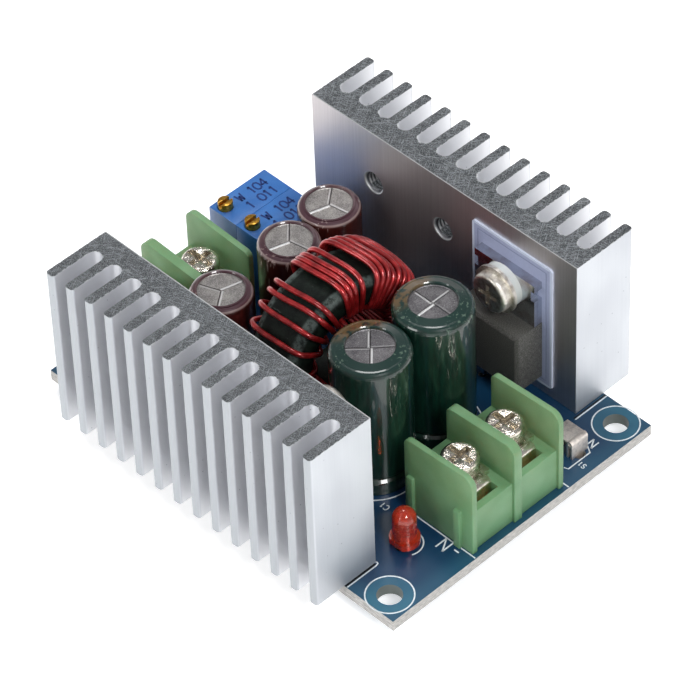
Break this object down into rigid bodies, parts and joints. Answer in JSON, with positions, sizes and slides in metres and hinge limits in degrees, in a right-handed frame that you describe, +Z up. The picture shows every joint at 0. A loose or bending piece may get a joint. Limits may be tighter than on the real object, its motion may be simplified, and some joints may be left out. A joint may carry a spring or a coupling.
{
  "type": "buck converter module",
  "caption": "Step-down converter board with two finned heatsinks, an upright ring inductor, radial capacitors, screw terminals, trimmers and an LED.",
  "frame": {"origin": "centre of the four mounting holes on the board's underside", "axes": "+Z up from the board to its parts, +Y along the heatsinks from the input terminal to the output terminal, +X from the left heatsink to the right one"},
  "size_m": [0.0538, 0.06, 0.0283],
  "materials": {
    "board": "solder mask, satin",
    "heatsink": "extruded, sawn ends",
    "tin": "tinned",
    "solder": "satin solder",
    "thermal_pad": "matt",
    "mould_compound": "matt moulded",
    "tab_metal": "nickel plate",
    "nylon": "moulded",
    "screw_steel": "zinc plate",
    "core_paint": "satin powder coat",
    "enamel_wire": "glossy enamel",
    "can_metal": "drawn",
    "green_sleeve": "shrink sleeve, glossy",
    "brown_sleeve": "shrink sleeve, glossy",
    "bung_rubber": "matt",
    "terminal_green": "moulded, satin",
    "contact_nickel": "bright nickel plate",
    "clamp_steel": "bright nickel plate",
    "trimmer_blue": "moulded",
    "trimmer_brass": "turned",
    "red_lens": "clear tinted epoxy",
    "link_metal": "bright tin plate",
    "ceramic": "fired ceramic",
    "resistor_black": "glazed"
  },
  "bodies": {
    "module": {"amplifier_chip": "mould_compound", "chip_capacitors": "ceramic", "chip_leads": "tin", "chip_resistors": "resistor_black", "circuit_board": "board", "controller_chip": "mould_compound", "folded_link": "link_metal", "heatsink_left": "heatsink", "heatsink_pins": "tin", "heatsink_right": "heatsink", "inductor_core": "core_paint", "inductor_winding": "enamel_wire", "input_capacitor_1_can": "can_metal", "input_capacitor_1_sleeve": "green_sleeve", "input_capacitor_2_can": "can_metal", "input_capacitor_2_sleeve": "green_sleeve", "input_capacitor_bungs": "bung_rubber", "input_capacitor_leads": "tin", "input_terminal_contact_1": "contact_nickel", "input_terminal_contact_2": "contact_nickel", "input_terminal_housing": "terminal_green", "insulating_pad_left": "thermal_pad", "insulating_pad_right": "thermal_pad", "led_leads": "tin", "led_lens": "red_lens", "output_capacitor_1_can": "can_metal", "output_capacitor_1_sleeve": "brown_sleeve", "output_capacitor_2_can": "can_metal", "output_capacitor_2_sleeve": "brown_sleeve", "output_capacitor_3_can": "can_metal", "output_capacitor_3_sleeve": "brown_sleeve", "output_capacitor_bungs": "bung_rubber", "output_capacitor_leads": "tin", "output_terminal_contact_1": "contact_nickel", "output_terminal_contact_2": "contact_nickel", "output_terminal_housing": "terminal_green", "rectifier_case": "mould_compound", "rectifier_leadframe": "tab_metal", "regulator_chip": "mould_compound", "screw_bushing_left": "nylon", "screw_bushing_right": "nylon", "sink_screw_left": "screw_steel", "sink_screw_right": "screw_steel", "sink_washer_left": "screw_steel", "sink_washer_right": "screw_steel", "solder_joints": "solder", "transistor_case": "mould_compound", "transistor_leadframe": "tab_metal", "trimmer_1_body": "trimmer_blue", "trimmer_2_body": "trimmer_blue", "trimmer_pins": "tin"},
    "input_clamp_screw_1_body": {"input_clamp_screw_1": "clamp_steel"},
    "input_clamp_screw_2_body": {"input_clamp_screw_2": "clamp_steel"},
    "output_clamp_screw_1_body": {"output_clamp_screw_1": "clamp_steel"},
    "output_clamp_screw_2_body": {"output_clamp_screw_2": "clamp_steel"},
    "trimmer_1_adjusting_screw_body": {"trimmer_1_adjusting_screw": "trimmer_brass"},
    "trimmer_2_adjusting_screw_body": {"trimmer_2_adjusting_screw": "trimmer_brass"}
  },
  "joints": [
    {"name": "input_clamp_screw_1_travel", "type": "slide", "parent": "module", "child": "input_clamp_screw_1_body", "axis": [0, 0, 1], "range_m": [0, 0.0025]},
    {"name": "input_clamp_screw_2_travel", "type": "slide", "parent": "module", "child": "input_clamp_screw_2_body", "axis": [0, 0, 1], "range_m": [0, 0.0025]},
    {"name": "output_clamp_screw_1_travel", "type": "slide", "parent": "module", "child": "output_clamp_screw_1_body", "axis": [0, 0, 1], "range_m": [0, 0.0025]},
    {"name": "output_clamp_screw_2_travel", "type": "slide", "parent": "module", "child": "output_clamp_screw_2_body", "axis": [0, 0, 1], "range_m": [0, 0.0025]},
    {"name": "trimmer_1_adjusting_screw_turn", "type": "hinge", "parent": "module", "child": "trimmer_1_adjusting_screw_body", "pos_m": [0.00596, 0.0275, 0.0118], "axis": [0, 0, 1], "continuous": true},
    {"name": "trimmer_2_adjusting_screw_turn", "type": "hinge", "parent": "module", "child": "trimmer_2_adjusting_screw_body", "pos_m": [0.00596, 0.02262, 0.0118], "axis": [0, 0, 1], "continuous": true}
  ]
}
